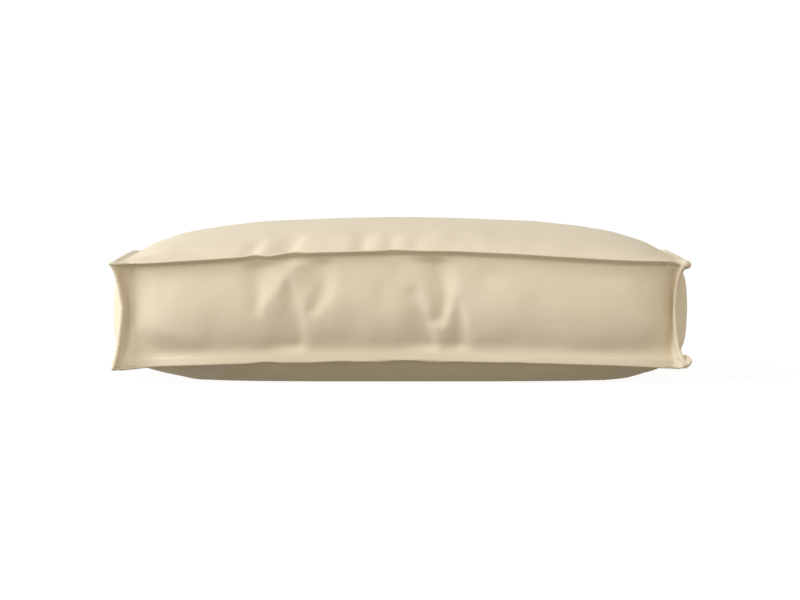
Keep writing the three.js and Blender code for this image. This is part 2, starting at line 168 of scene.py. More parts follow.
# Soft folds of the panels, a row each: its top and its foot (x along the panel, z up it), how far
# the line between them bows to the right, the rise at both (troughs are negative), and how far
# it slopes off to its left and to its right, at both
frontFolds = [
    ((-149.6, 132.7), (-148.8, 79), 0, (-4.5, -2.5), (23, 14), (32, 6)),
    ((-109.5, 125.5), (-147.0, 79), 3, (3, 1), (23, 6), (22, 18)),
    ((-82.0, 132.7), (-91.0, 79), 8, (-4, -2.5), (27, 8), (17, 12)),
    ((-117.1, 105.4), (-111.0, 12), 7, (-2, -5.4), (6, 58), (7, 13)),
    ((33.1, 132.7), (42.5, 70), 10, (-6.8, -4.6), (27, 15), (20, 10)),
    ((16.3, 94.9), (36.0, 12), 4, (-3.1, -4.8), (17, 40), (6, 12)),
    ((61.8, 84.0), (65.4, 12), 0, (-2.6, -5.2), (8, 25), (7, 17)),
]
rightFolds = [
    ((-60, 118), (-40, 40), 8, (-3, -2), (34, 26), (24, 30)),
    ((120, 112), (96, 44), -6, (-2, -3), (28, 34), (32, 24)),
]
backFolds = [
    ((96, 122), (70, 50), -8, (-3.5, -2), (26, 30), (30, 20)),
    ((-30, 90), (-64, 34), 5, (-2, -3.5), (22, 32), (26, 30)),
]
leftFolds = [
    ((-110, 116), (-92, 46), 6, (-3, -2), (30, 24), (26, 32)),
    ((70, 104), (88, 38), -5, (-2, -3), (26, 30), (30, 24)),
]
panelFolds = {"front": frontFolds, "right": rightFolds, "back": backFolds, "left": leftFolds}

# The same on the top panel, where z is how far in from the front seam
topFolds = [
    ((-148, 44), (-160, 2), 0, (-1.2, -6.5), (14, 14), (12, 12)),
    ((-108, 52), (-123, 2), 0, (-2.0, -7.5), (24, 20), (16, 14)),
    ((-36, 48), (-41, 2), 0, (-1.4, -5.0), (14, 12), (15, 13)),
    ((-8, 40), (-12, 2), 0, (-0.8, -4.2), (8, 9), (12, 12)),
    ((20, 34), (14, 2), 0, (-0.4, -2.0), (10, 10), (12, 12)),
    ((60, 36), (50, 2), 0, (-0.2, -1.2), (18, 16), (16, 14)),
]

# Places where the front flange's edge lifts or dips: x, half width, degrees of lean
frontRipples = [(-153, 8, 9), (-136, 7, -9), (-110, 10, 10), (-5, 12, 8), (30, 14, -4),
                (120, 24, 3)]


def easeIn(value):
    value = np.clip(value, 0, 1)
    return value * value * (3 - 2 * value)


def places(steps, crowding):
    even = np.linspace(-1, 1, steps + 1)
    return (1 - crowding) * even + crowding * np.sin(even * math.pi / 2)


def withLips(values):
    lips = np.arange(1.0, cushion["lip"] + 1)
    ends = np.ones(len(lips))
    return (np.concatenate([-ends, values, ends]),
            np.concatenate([lips[::-1], np.zeros(len(values)), lips]))


def seamHeight(side, end, along):
    fall = 1 - along ** 2
    if end > 0:
        return cushion["cornerTopSeam"] + side["topArch"] * fall ** 2
    return cushion["cornerBottomSeam"] + side["bottomArch"] * fall


# How far out a side's corners stand, and how far along it a place on its seam lies
def cornerOut(side, end):
    return cushion["seamHalf"] - (side["bottomIn"] if end < 0 else 0)


def halfLength(side, end, along):
    index = sides.index(side)
    before, after = sides[index - 1], sides[(index + 1) % 4]
    return np.where(along < 0, cornerOut(before, end), cornerOut(after, end))


def seamOut(side, end, along):
    bow = side["topBow"] if end > 0 else side["bottomBow"]
    return cornerOut(side, end) + bow * (1 - abs(along) ** 5) - seamNip(side, end, along)


# The hollows at the ends of the front panel pull its seams in
def seamNip(side, end, along):
    if side["name"] != "front":
        return 0.0 * along
    inward = cushion["seamHalf"] * (1 - abs(along))
    left, right = (pocketDepth(side, inward, float(end), sign) for sign in (-1, 1))
    return np.where(along < 0, left, right)


# How much of a corner's draw there is at a height, back from its first and from its second side
def drawShare(height, corner, which):
    early, late = (1 - abs(height) ** power for power in cushion["drawPowers"])
    return (0.5 * early + 0.5 * late) ** corner["drawPower"][which]


# From 1 in the middle of a panel to 0 at its seams, partly early and partly late
def fallOff(name, place):
    early, power = cushion[name]
    return 1 - early * place ** 2 - (1 - early) * abs(place) ** power


def swellUp(side, height):
    if side["name"] in ("front", "back"):
        return throughTable(slumpedSection, (height + 1) / 2)
    return fallOff("swellUp", height)


# A smooth curve through a table of places and values
def throughTable(table, place):
    at, value = np.array(table).T
    slope = np.gradient(value, at)
    index = np.clip(np.searchsorted(at, place) - 1, 0, len(at) - 2)
    step = at[index + 1] - at[index]
    t = np.clip((place - at[index]) / step, 0, 1)
    fromHere, toNext = 2 * t ** 3 - 3 * t ** 2 + 1, 3 * t ** 2 - 2 * t ** 3
    slopeHere, slopeNext = t ** 3 - 2 * t ** 2 + t, t ** 3 - t ** 2
    return (fromHere * value[index] + toNext * value[index + 1]
            + step * (slopeHere * slope[index] + slopeNext * slope[index + 1]))


# The hollow that a corner flange leaves in the panel beside it, with its floor rounded off
def pocketDepth(side, inward, height, sign):
    if side["name"] == "front":
        hollow = frontHollows[sign > 0]
        above, below = hollow["change"]
        low = easeIn((-height - above) / (below - above))
        pairs = [hollow[key] for key in ("depth", "valley", "floor", "wide")]
        depth, valley, floor, wide = (middle + (foot - middle) * low for middle, foot in pairs)
        fade = 1
    else:
        depth, wide = side["pockets"][sign > 0], side["pocketWidth"][sign > 0]
        valley, floor = cushion["pocketValley"], cushion["pocketFloor"]
        fade = 1 - abs(height) ** cushion["pocketFade"]
    near = np.maximum(inward, 0) / valley
    past = (np.maximum(wide - inward, 0) / (wide - valley)) ** 2
    rounded = np.maximum(floor - abs(near - past), 0) ** 2 / (4 * floor)
    return depth * np.maximum(np.minimum(near, past) - rounded, 0) * fade


# The corner at a side's end, and which of its two directions is out from this side
def endCorner(side, sign):
    index = sides.index(side)
    return (corners[index], 0) if sign > 0 else (corners[index - 1], 1)


def bellyShare(across, back):
    left, right = cushion["bellySquare"]
    roundPower, squarePower, backPower = cushion["bellyPowers"]
    square = np.where(across > 0, right, left)
    fall = (1 - square) * abs(across) ** roundPower
    return (1 - fall - square * abs(across) ** squarePower) * (1 - back ** backPower)


def foldRise(fold, x, z):
    (topX, topZ), (footX, footZ), bow, *ends = fold
    runX, runZ = footX - topX, footZ - topZ
    length = math.hypot(runX, runZ)
    share = ((x - topX) * runX + (z - topZ) * runZ) / length ** 2
    onFold = np.clip(share, 0, 1)
    beyond = abs(share - onFold) * length
    rise, left, right = (top + (foot - top) * onFold for top, foot in ends)
    beside = ((z - topZ) * runX - (x - topX) * runZ) / length - bow * 4 * onFold * (1 - onFold)
    rounding = cushion["foldRounding"]
    softened = np.hypot(beside, rounding) - rounding
    spread = np.where(beside < 0, left, right)
    near = np.maximum(0, 1 - np.hypot(softened / spread, beyond / cushion["foldEndFade"]))
    return rise * near ** 2 * (1.6 - 0.6 * near)


# How a long flange leans along its side, with its small ripples
def flangeLean(side, end, along):
    x = along * cushion["seamHalf"]
    index = sides.index(side)
    before, after = corners[index - 1]["nextLean"][end > 0], corners[index]["ownLean"][end > 0]
    corner = before + (after - before) * easeIn((along + 1) / 2)
    middle = side["topLean" if end > 0 else "bottomLean"]
    lean = corner + (middle - corner) * (1 - abs(along) ** flange["leanPowers"][end > 0])
    phase = index * 1.7 + (end < 0) * 0.9  # so that no two flanges ripple alike
    free = 1 - along ** 4
    (short, shortRun), (long, longRun) = flange["ripples"]
    ripple = short * np.sin(x / shortRun + phase) + long * np.sin(x / longRun + 2 * phase)
    lean = lean + free * ripple
    if side["name"] == "front" and end > 0:
        for centre, half, degrees in frontRipples:
            lean = lean + degrees * np.exp(-((x - centre) / half) ** 2)
    return np.radians(lean)


def flangeHalf(reach, edge):
    share = np.clip(reach / flange["width"][1], 0, 1)
    return flange["rootHalf"] + (edge - flange["rootHalf"]) * share


# How far the end of a lip dips under the flange's face
def lipSink(reach):
    deep, start, over = flange["lipSink"]
    return deep * easeIn((reach - start) / over) - flange["lipLift"]


# Half the thickness of a corner flange's edge at a height
def cornerEdge(corner, height):
    middle, ends = corner["edge"]
    return middle + (ends - middle) * abs(height) ** flange["edgePower"]


# Where a corner flange points beside a side's end, as shares along and out
def cornerWay(side, sign, height):
    corner = endCorner(side, sign)[0]
    low, middle, high = corner["turn"]
    away = 1 - np.clip(abs(height - corner["kink"]), 0, 1) ** corner["late"]
    turn = np.where(height > 0, high, low) * (1 - away) + middle * away
    turn = np.radians(turn) * sign
    return np.sin(math.pi / 4 - turn), np.cos(math.pi / 4 - turn)


# Smooths a grid along one axis, as much as the weights say
def relax(grid, passes, weights, axis):
    grid = np.moveaxis(grid, axis, 0)
    weights = weights.reshape(-1, *([1] * (grid.ndim - 1)))
    for step in range(passes):
        middle = 0.5 * (grid[:-2] + grid[2:]) - grid[1:-1]
        grid[1:-1] += 0.5 * weights[1:-1] * middle
    return np.moveaxis(grid, 0, axis)


# 1 beside the seams at both ends of a list of places, fading to 0 over some steps
def nearSeams(count, wide):
    steps = np.arange(count)
    first, last = (easeIn(away / 2.0) * easeIn((cushion["lip"] + wide - away) / wide)
                   for away in (steps, steps[::-1]))
    return np.maximum(first, last)


# A side's panel as a grid of x along it, y out from it and z up: s and t are places on it, and
# a and b say how far the lips reach out over the long flanges and over the corner flanges
def boxingPanel(side):
    steps = cushion["columns"] if side["name"] in ("front", "back") else cushion["sideColumns"]
    along, lipAlong = withLips(places(steps, cushion["crowding"]))
    height, lipUp = withLips(places(cushion["rows"], cushion["rowCrowding"]))
    s, t = np.meshgrid(along, height)
    b, a = np.meshgrid(lipAlong, lipUp)
    rim = cushion["rim"]
    low, high = halfLength(side, -1, s), halfLength(side, 1, s)
    half = low + (high - low) * (t + 1) / 2
    leanLow, leanHigh = flangeLean(side, -1, s), flangeLean(side, 1, s)
    root = flange["rootHalf"] + flange["lipLift"]
    bottom = seamHeight(side, -1, s) + root * np.cos(leanLow)
    top = seamHeight(side, 1, s) - root * np.cos(leanHigh)
    z = bottom + (top - bottom) * (t + 1) / 2
    x = s * (half - rim)
    outLow = seamOut(side, -1, s) + seamNip(side, -1, s) + root * np.sin(leanLow)
    outHigh = seamOut(side, 1, s) + seamNip(side, 1, s) + root * np.sin(leanHigh)
    swell = fallOff("swellAlong", s)
    out = outLow + (outHigh - outLow) * (t + 1) / 2 + side["swell"] * swell * swellUp(side, t)

    # drawn in beside the corner flanges
    for sign in (-1, 1):
        here = s * sign > 0
        corner, own = endCorner(side, sign)
        draw, plunge = corner["draw"][own], corner["plunge"][own]
        drawOut, drawIn = (drawShare(t, corner, which) for which in (own, 1 - own))
        alongDraw = corner["draw"][1 - own] * drawIn
        x = np.where(here, x - sign * alongDraw * (1 - swell), x)
        inward = half - rim - alongDraw - sign * x
        pulled = (draw - plunge) * drawOut * (1 - swell)
        pulled = pulled + plunge * drawOut * (1 - easeIn(inward / cushion["plungeWidth"]))
        groove = np.maximum(inward, 0) / cushion["grooveWidth"]
        pulled = pulled + cushion["groove"] * groove * np.exp(1 - groove) * (1 - t ** 4)
        out = np.where(here, out - pulled - pocketDepth(side, inward, t, sign), out)

    shown = easeIn(np.minimum((top - z) / cushion["foldTopFade"],
                              (z - bottom) / cushion["foldFootFade"]))
    out = out + sum(foldRise(fold, x, z) for fold in panelFolds[side["name"]]) * shown

    # out onto the long flanges' outer faces, and onto the corner flanges' faces
    end = np.where(t > 0, 1, -1)
    lean = np.where(t > 0, leanHigh, leanLow)
    edge = np.where(t > 0, flange["edgeHalf"][1], flange["edgeHalf"][0])
    sink = lipSink(a) + flange["rootHalf"] - flangeHalf(a, edge)
    outA = a * np.cos(lean) - sink * np.sin(lean)
    z = z + end * (a * np.sin(lean) + sink * np.cos(lean)) * (a > 0)
    outB = np.zeros_like(x)
    for sign in (-1, 1):
        wayX, wayOut = cornerWay(side, sign, t)
        here = (s * sign > 0.999) & (b > 0)
        edge = cornerEdge(endCorner(side, sign)[0], t)
        sink = lipSink(b) + flange["rootHalf"] - flangeHalf(b, edge)
        x = np.where(here, x + sign * (b * wayX + sink * wayOut), x)
        outB = np.where(here, b * wayOut - sink * wayX, outB)
    out = out + np.where(a > 0, np.maximum(outA, outB), outB)
    grid = np.stack([x, out, z], axis=-1)
    for axis, passes in enumerate((cushion["boxingFillet"], cushion["cornerFillet"])):
        grid = relax(grid, passes, nearSeams(z.shape[axis], 4), axis)
    return grid


# A point beside a side, turned to its place round the cushion
def besideSide(side, grid):
    x, y = grid[..., 0], -grid[..., 1]
    for quarter in range(sides.index(side)):
        x, y = -y, x
    return np.stack([x, y, grid[..., 2]], axis=-1)


# The top panel (end 1) or the bottom panel (end -1), with lips all round
def facePanel(end):
    u, lipU = withLips(places(cushion["columns"], cushion["crowding"]))
    v, lipV = withLips(places(cushion["sideColumns"], cushion["crowding"]))
    across, back = np.meshgrid(u, v)
    b, a = np.meshgrid(lipU, lipV)
    front, right, rear, left = sides
    corner = cushion["cornerTopSeam"] if end > 0 else cushion["cornerBottomSeam"]
    frontRise = seamHeight(front, end, across) - corner
    sideRise = seamHeight(right, end, back) - corner
    leanFront = np.where(back < 0, flangeLean(front, end, across), flangeLean(rear, end, -across))
    leanSide = np.where(across > 0, flangeLean(right, end, back), flangeLean(left, end, -back))
    root = flange["rootHalf"] + flange["lipLift"]
    z = corner + frontRise * back ** 2 + sideRise * across ** 2
    z = z + end * root * np.maximum(np.cos(leanFront) * back ** 2, np.cos(leanSide) * across ** 2)
    reachX = np.where(across > 0, seamOut(right, end, back), seamOut(left, end, back))
    reachX = reachX - root * np.sin(leanSide)
    reachY = np.where(back < 0, seamOut(front, end, across), seamOut(rear, end, across))
    reachY = reachY - root * np.sin(leanFront)
    x = across * reachX
    y = back * reachY
    if end > 0:
        crown = cushion["height"] - cushion["cornerTopSeam"]
        z = z + crown * fallOff("crownFall", across) * fallOff("crownFall", back)
        inFromSeam = y + reachY
        z = z + easeIn(inFromSeam / 3) * sum(foldRise(fold, x, inFromSeam) for fold in topFolds)
    else:
        hanging = z - cushion["bellyDepth"] * bellyShare(across, back)
        soft = cushion["bellyRounding"]
        rounded = np.where(hanging > -soft, (hanging + soft) ** 2 / (4 * soft), 0)
        z = np.where(hanging < soft, rounded, hanging)

    # out onto the flange's inner face, on all four sides
    edge = flange["edgeHalf"][end > 0]
    sinkA = lipSink(a) + flange["rootHalf"] - flangeHalf(a, edge)
    sinkB = lipSink(b) + flange["rootHalf"] - flangeHalf(b, edge)
    y = y + np.sign(back) * (a * np.cos(leanFront) + sinkA * np.sin(leanFront)) * (a > 0)
    x = x + np.sign(across) * (b * np.cos(leanSide) + sinkB * np.sin(leanSide)) * (b > 0)
    riseA = (a * np.sin(leanFront) - sinkA * np.cos(leanFront)) * (a > 0)
    riseB = (b * np.sin(leanSide) - sinkB * np.cos(leanSide)) * (b > 0)
    z = z + end * np.maximum(riseA, riseB)
    grid = np.stack([x, y, z], axis=-1)
    for axis, count in enumerate(z.shape):
        grid = relax(grid, cushion["faceFillet"], nearSeams(count, 6), axis)
    return grid


def newPiece(name, points, faces, material, weave=None):
    mesh = bpy.data.meshes.new(name)
    mesh.from_pydata((points * millimetre).tolist(), [], faces)
    mesh.update()
    if weave is not None:  # where the threads lie, in metres
        layer = mesh.uv_layers.new(name="weave")
        corner = np.empty(len(mesh.loops), dtype=np.int32)
        mesh.loops.foreach_get("vertex_index", corner)
        layer.data.foreach_set("uv", (weave[corner] * millimetre).astype(np.float32).ravel())
    mesh.polygons.foreach_set("use_smooth", np.ones(len(mesh.polygons), dtype=bool))
    mesh.materials.append(material)
    piece = bpy.data.objects.new(name, mesh)
    scene.collection.objects.link(piece)
    return piece


def gridQuads(ids):
    quads = [ids[:-1, :-1], ids[:-1, 1:], ids[1:, 1:], ids[1:, :-1]]
    return np.stack(quads, axis=-1).reshape(-1, 4).tolist()


def strip(lower, upper):
    return np.stack([lower[:-1], lower[1:], upper[1:], upper[:-1]], axis=-1).tolist()


# The four edges of a top or bottom grid, in the order of the sides
def gridEdges(ids):
    return [ids[0], ids[:, -1], ids[-1, ::-1], ids[::-1, 0]]


# All the panels as one closed mesh, and the points that lie on a seam
def coverBody(material):
    topGrid, bottomGrid = facePanel(1), facePanel(-1)
    boxing = [boxingPanel(side) for side in sides]
    grids = [topGrid, bottomGrid] + [besideSide(side, grid) for side, grid in zip(sides, boxing)]
    ids, count = [], 0
    for grid in grids:
        size = grid.shape[0] * grid.shape[1]
        ids.append(np.arange(count, count + size).reshape(grid.shape[:2]))
        count += size
    top, bottom, panels = ids[0], ids[1], ids[2:]
    faces = gridQuads(top) + gridQuads(bottom[:, ::-1])
    for index, panel in enumerate(panels):
        following = panels[(index + 1) % 4]
        above, below = gridEdges(top)[index], gridEdges(bottom)[index]
        faces += gridQuads(panel) + strip(panel[-1], above) + strip(below, panel[0])
        faces += zip(panel[:-1, -1], following[:-1, 0], following[1:, 0], panel[1:, -1])
        faces.append([panel[-1, -1], following[-1, 0], above[-1]])
        faces.append([following[0, 0], panel[0, -1], below[-1]])
    faces = [[int(point) for point in face] for face in faces]
    points = np.concatenate([grid.reshape(-1, 3) for grid in grids])
    threads = [topGrid[..., :2], bottomGrid[..., :2]] + [grid[..., [0, 2]] for grid in boxing]
    weave = np.concatenate([thread.reshape(-1, 2) for thread in threads])
    seams = [edge for panel in panels for edge in (panel[0], panel[-1], panel[:, 0], panel[:, -1])]
    piece = newPiece("cushion_cover", points, faces, material, weave)
    return piece, points[np.unique(np.concatenate(seams))]


# How the cover settles over its filling: a rough copy, cut a little too big for the filling and
# held along its seams, is blown up as cloth, and its unevenness is laid over the cover (metres)
settling = {
    "roughness": 0.012,      # size of the rough copy's faces
    "seed": 4,
    "shuffle": 0.0004,       # random start, so that it doesn't settle too evenly
    "held": 0.010,           # this far from the seams it can't move
    "spareCloth": 0.015,     # how much too big it is cut
    "pressure": 4.0,
    "weight": 0.25,
    "stiffness": 15,
    "bending": 0.4,
    "quality": 3,            # solver steps in each of the steps below
    "steps": 20,
    "farthest": 0.020,       # that a point may move
    "softness": 1,           # passes that even out the cloth's own grain,
    "spread": 14,            # and passes that tell the unevenness from the swell
    "unevenness": 0.001,     # most that is laid over the cover
    "neighbours": 4,
    "fade": 0.022,           # how far from the seams it reaches its full height
}


def nearTree(points):
    tree = KDTree(len(points))
    for index, point in enumerate(points):
        tree.insert(point, index)
    tree.balance()
    return tree


def coordinates(mesh):
    flat = np.empty(3 * len(mesh.vertices), dtype=np.float32)
    mesh.vertices.foreach_get("co", flat)
    return flat.reshape(-1, 3).astype(float)


# The mean of a field over the neighbours of each point
def besideMean(field, edges):
    total = np.zeros_like(field)
    np.add.at(total, edges[:, 0], field[edges[:, 1]])
    np.add.at(total, edges[:, 1], field[edges[:, 0]])
    count = np.bincount(edges.ravel(), minlength=len(field))
    return total / np.maximum(count, 1)[:, None]


def evenOut(field, edges, passes):
    for step in range(passes):
        field = 0.5 * field + 0.5 * besideMean(field, edges)
    return field


# Where the rough copy's points start and how far they move
def blownUp(rough, seamTree):
    rng = np.random.default_rng(settling["seed"])
    for vertex in rough.data.vertices:
        vertex.co += vertex.normal * float(rng.normal(0, settling["shuffle"]))
    start = coordinates(rough.data)
    bySeams = [index for index, point in enumerate(start)
               if seamTree.find(point)[2] < settling["held"]]
    rough.vertex_groups.new(name="seams").add(bySeams, 1, "ADD")
    cloth = rough.modifiers.new("cloth", "CLOTH")
    cloth.settings.quality = settling["quality"]
    cloth.settings.mass = settling["weight"]
    cloth.settings.tension_stiffness = settling["stiffness"]
    cloth.settings.compression_stiffness = settling["stiffness"]
    cloth.settings.bending_stiffness = settling["bending"]
    cloth.settings.use_pressure = True
    cloth.settings.uniform_pressure_force = settling["pressure"]
    cloth.settings.shrink_min = -settling["spareCloth"]
    cloth.settings.effector_weights.gravity = 0
    cloth.settings.vertex_group_mass = "seams"
    cloth.collision_settings.use_collision = False
    cloth.point_cache.frame_end = settling["steps"]
    for step in range(1, settling["steps"] + 1):
        scene.frame_set(step)
    settled = rough.evaluated_get(bpy.context.evaluated_depsgraph_get())
    moved = coordinates(settled.data) - start
    scene.frame_set(1)
    rough.modifiers.remove(cloth)
    length = np.linalg.norm(moved, axis=1, keepdims=True)
    return start, moved * np.minimum(1, settling["farthest"] / np.maximum(length, 1e-9))


def settleCover(cover, seamPoints):
    rough = bpy.data.objects.new("cover_rough", cover.data.copy())
    scene.collection.objects.link(rough)
    remesh = rough.modifiers.new("remesh", "REMESH")
    remesh.mode = "VOXEL"
    remesh.voxel_size = settling["roughness"]
    whole = rough.evaluated_get(bpy.context.evaluated_depsgraph_get())
    rough.data = bpy.data.meshes.new_from_object(whole)
    rough.modifiers.remove(remesh)
    seamTree = nearTree(seamPoints * millimetre)
    start, moved = blownUp(rough, seamTree)
    edges = np.empty(2 * len(rough.data.edges), dtype=np.int32)
    rough.data.edges.foreach_get("vertices", edges)
    edges = edges.reshape(-1, 2)
    uneven = evenOut(moved, edges, settling["softness"]) - evenOut(moved, edges, settling["spread"])
    height = np.linalg.norm(uneven, axis=1, keepdims=True)
    limit = settling["unevenness"]
    uneven = uneven * limit * np.tanh(height / limit) / np.maximum(height, 1e-9)
    tree, points = nearTree(start), coordinates(cover.data)
    shift = np.zeros_like(points)
    for index, point in enumerate(points):
        fade = min(1, seamTree.find(point)[2] / settling["fade"])
        near = [(own, 1 / (distance + millimetre))
                for place, own, distance in tree.find_n(point, settling["neighbours"])]
        total = sum(weight for own, weight in near)
        shift[index] = fade * sum(weight * uneven[own] for own, weight in near) / total
    lying = points[:, 2] < millimetre  # what lies on the floor stays down
    points[:, 2] = np.where(lying, points[:, 2], points[:, 2] + shift[:, 2])
    points[:, :2] += shift[:, :2]
    cover.data.vertices.foreach_set("co", points.astype(np.float32).ravel())
    cover.data.update()
    bpy.data.objects.remove(rough)
    print("cover settled: swell", round(1000 * float(abs(moved).max()), 1), "mm, unevenness",
          round(1000 * float(abs(shift).max()), 2), "mm over", len(start), "points")


# Cross-section of a flange as reach from its root and offset to its two faces
def flangeProfile(width, edge, puff=0.0):
    rows = (-flange["buried"], 0.0, *flange["faceSteps"])
    along = [reach for reach in rows if reach < width - edge - puff - 0.5]
    along += [along[-1]] * (len(rows) - len(along))
    outer = [(reach, flangeHalf(reach, edge) + puff * easeIn(reach / width)) for reach in along]
    outer[0] = (outer[0][0], flange["buriedHalf"])
    edge = edge + puff
    turn = [(width - edge + edge * math.sin(angle), edge * math.cos(angle))
            for angle in np.linspace(0, math.pi, flange["edgeSteps"])]
    inner = [(reach, -half) for reach, half in outer[::-1]]
    return np.array(outer + turn + inner)


# Quads along a run of sections, capped at both ends
def tube(sections, flipped):
    count, size = len(sections), len(sections[0])
    ids = np.arange(count * size).reshape(count, size)
    faces = gridQuads(np.concatenate([ids, ids[:, :1]], axis=1))
    faces += [ids[0].tolist(), ids[-1][::-1].tolist()]
    return np.concatenate(sections), [face[::-1] for face in faces] if flipped else faces


# Where the front's bottom flange is nipped narrower: place, half width and how much
footNips = [(-141, 13, 1.3), (-95, 9, -0.4), (-62, 14, 0.8), (6, 17, 1.5), (62, 12, 0.3),
            (122, 10, 0.4)]


# Width of a long flange this far from a corner
def endWidth(corner, top, away):
    near = 1 - float(easeIn(away / flange["widerArm"]))
    return flange["width"][top] + corner["wider"][top] * near


# A long flange's section at a place on its side, fuller towards the ears
def longSection(side, end, along):
    lean = float(flangeLean(side, end, along))
    corner, top = endCorner(side, along)[0], int(end > 0)
    half = float(halfLength(side, end, along))
    away = half * (1 - abs(along))
    puff = corner["puff"][top] * (1 - easeIn(away / flange["puffArm"]))
    width = endWidth(corner, top, away)
    if side["name"] == "front" and not top:
        width -= sum(less * math.exp(-((along * half - place) / wide) ** 2)
                     for place, wide, less in footNips)
    reach, face = flangeProfile(width, flange["edgeHalf"][top], float(puff)).T
    out = seamOut(side, end, along) + reach * math.cos(lean) + face * math.sin(lean)
    z = seamHeight(side, end, along) + end * (reach * math.sin(lean) - face * math.cos(lean))
    return besideSide(side, np.stack([np.full(len(out), along * half), out, z], axis=-1))


# Its section part way round the corner at the side's right end
def fanSection(index, end, turn):
    side, following = sides[index], sides[(index + 1) % 4]
    corner, top = corners[index], int(end > 0)
    first, second = corner["ownLean"][top], corner["nextLean"][top]
    lean = math.radians(first + (second - first) * turn / (math.pi / 2))
    whole = endWidth(corner, top, 0.0)
    deep = whole * math.sin(lean)
    width = max(0.5, whole * math.cos(lean))
    radius = min(corner["round"], width - 0.01)
    centre = width - radius
    cosine, sine = math.cos(turn), math.sin(turn)
    reach = width / max(cosine, sine)
    if min(cosine, sine) * reach > centre:
        rounded = radius ** 2 - centre ** 2 * (cosine - sine) ** 2
        reach = centre * (cosine + sine) + math.sqrt(max(0, rounded))
    reach += corner["spare"][top] * math.sin(2 * turn)
    length = math.hypot(reach, deep)
    along, face = flangeProfile(length, flange["edgeHalf"][top], corner["puff"][top]).T
    flat = along * reach / length + face * math.sin(lean)
    rise = along * deep / length - face * math.cos(lean)
    x = cornerOut(following, end) + flat * sine
    out = cornerOut(side, end) + flat * cosine
    z = seamHeight(side, end, 1.0) + end * rise
    return besideSide(side, np.stack([x, out, z], axis=-1))


# A corner flange's section at a height from -1 to 1
def uprightSection(index, height):
    side, following = sides[index], sides[(index + 1) % 4]
    corner, top = corners[index], int(height > 0)
    wayX, wayOut = cornerWay(side, 1, height)
    width = flange["middleReach"] + (flange["endReach"] - flange["middleReach"]) * height ** 4
    reach, face = flangeProfile(width, cornerEdge(corner, height)).T
    lean = min(flange["steepest"], (corner["ownLean"][top] + corner["nextLean"][top]) / 2)
    flare = height ** 5 * math.tan(math.radians(lean)) * flange["flare"]
    share = (height + 1) / 2
    alongCorner, outCorner = (cornerOut(one, -1) + (cornerOut(one, 1) - cornerOut(one, -1)) * share
                              for one in (following, side))
    alongCorner = alongCorner - corner["draw"][1] * drawShare(height, corner, 1)
    outCorner = outCorner - corner["draw"][0] * drawShare(height, corner, 0)
    x = alongCorner + reach * wayX - face * wayOut
    out = outCorner + reach * wayOut + face * wayX
    low, high = cushion["cornerBottomSeam"], cushion["cornerTopSeam"]
    return besideSide(side, np.stack([x, out, low + (high - low) * share + flare * reach], axis=-1))


# Heights along a corner flange, between two distances from its bottom or, when negative, its top
def uprightSpan(low, high, steps):
    tall = cushion["cornerTopSeam"] - cushion["cornerBottomSeam"]
    low, high = (place if place >= 0 else tall + place for place in (low, high))
    return np.linspace(low, high, steps) * 2 / tall - 1


# Several lists of points and faces as one
def together(parts):
    points = np.concatenate([part[0] for part in parts])
    faces, count = [], 0
    for partPoints, partFaces in parts:
        faces += [[point + count for point in face] for face in partFaces]
        count += len(partPoints)
    return points, faces


# The ear where two long flanges and a corner flange meet: one even mesh, smoothed over
def cornerEar(index, end):
    side, following, arm = sides[index], sides[(index + 1) % 4], flange["earArm"]
    before = float(halfLength(side, end, 1.0))
    after = float(halfLength(following, end, -1.0))
    armSteps, turnStep, uprightSteps = flange["earSteps"]
    distances = np.linspace(arm, 0, armSteps)
    run = [longSection(side, end, 1 - distance / before) for distance in distances]
    run += [fanSection(index, end, math.radians(turn)) for turn in range(turnStep, 90, turnStep)]
    distances = np.linspace(0, arm, armSteps)
    run += [longSection(following, end, distance / after - 1) for distance in distances]
    spans = uprightSpan(*((-arm, -0.01) if end > 0 else (0, arm)), uprightSteps)
    upright = [uprightSection(index, height) for height in spans]
    points, faces = together([tube(run, end > 0), tube(upright, False)])

    mesh = bpy.data.meshes.new("ear")
    mesh.from_pydata((points * millimetre).tolist(), [], faces)
    rough = bpy.data.objects.new("ear", mesh)
    scene.collection.objects.link(rough)
    even = rough.modifiers.new("even", "REMESH")
    even.mode = "VOXEL"
    even.voxel_size = flange["earGrain"] * millimetre
    graph = bpy.context.evaluated_depsgraph_get()
    made = rough.evaluated_get(graph).to_mesh()
    points = np.array([point.co for point in made.vertices]) / millimetre
    edges = np.array([edge.vertices for edge in made.edges])
    faces = [list(face.vertices) for face in made.polygons]
    bpy.data.objects.remove(rough)

    middle = [cornerOut(following, end), cornerOut(side, end), seamHeight(side, end, 1.0)]
    away = np.linalg.norm(points - besideSide(side, np.array(middle)), axis=1)
    smoothed, fading = flange["earFade"]
    free = 1 - easeIn((away - smoothed * arm) / (fading * arm))
    for step in range(corners[index]["soften"]):
        points = points + 0.5 * free[:, None] * (besideMean(points, edges) - points)
    return points, faces


# A flange all round the top or bottom seam, with its four ears
def longFlange(name, end, material):
    short = (flange["earArm"] - flange["earOverlap"]) / cushion["seamHalf"]
    run = places(flange["longSteps"], cushion["rowCrowding"]) * (1 - short)
    parts = []
    for index, side in enumerate(sides):
        parts.append(tube([longSection(side, end, along) for along in run], end > 0))
        parts.append(cornerEar(index, end))
    return newPiece(name, *together(parts), material)


# A flange down one corner seam, as far as the ears
def cornerFlange(name, index, material):
    arm = flange["earArm"] - flange["earOverlap"]
    spans = uprightSpan(arm, -arm, flange["uprightSteps"])
    points, faces = tube([uprightSection(index, height) for height in spans], False)
    return newPiece(name, points, faces, material)


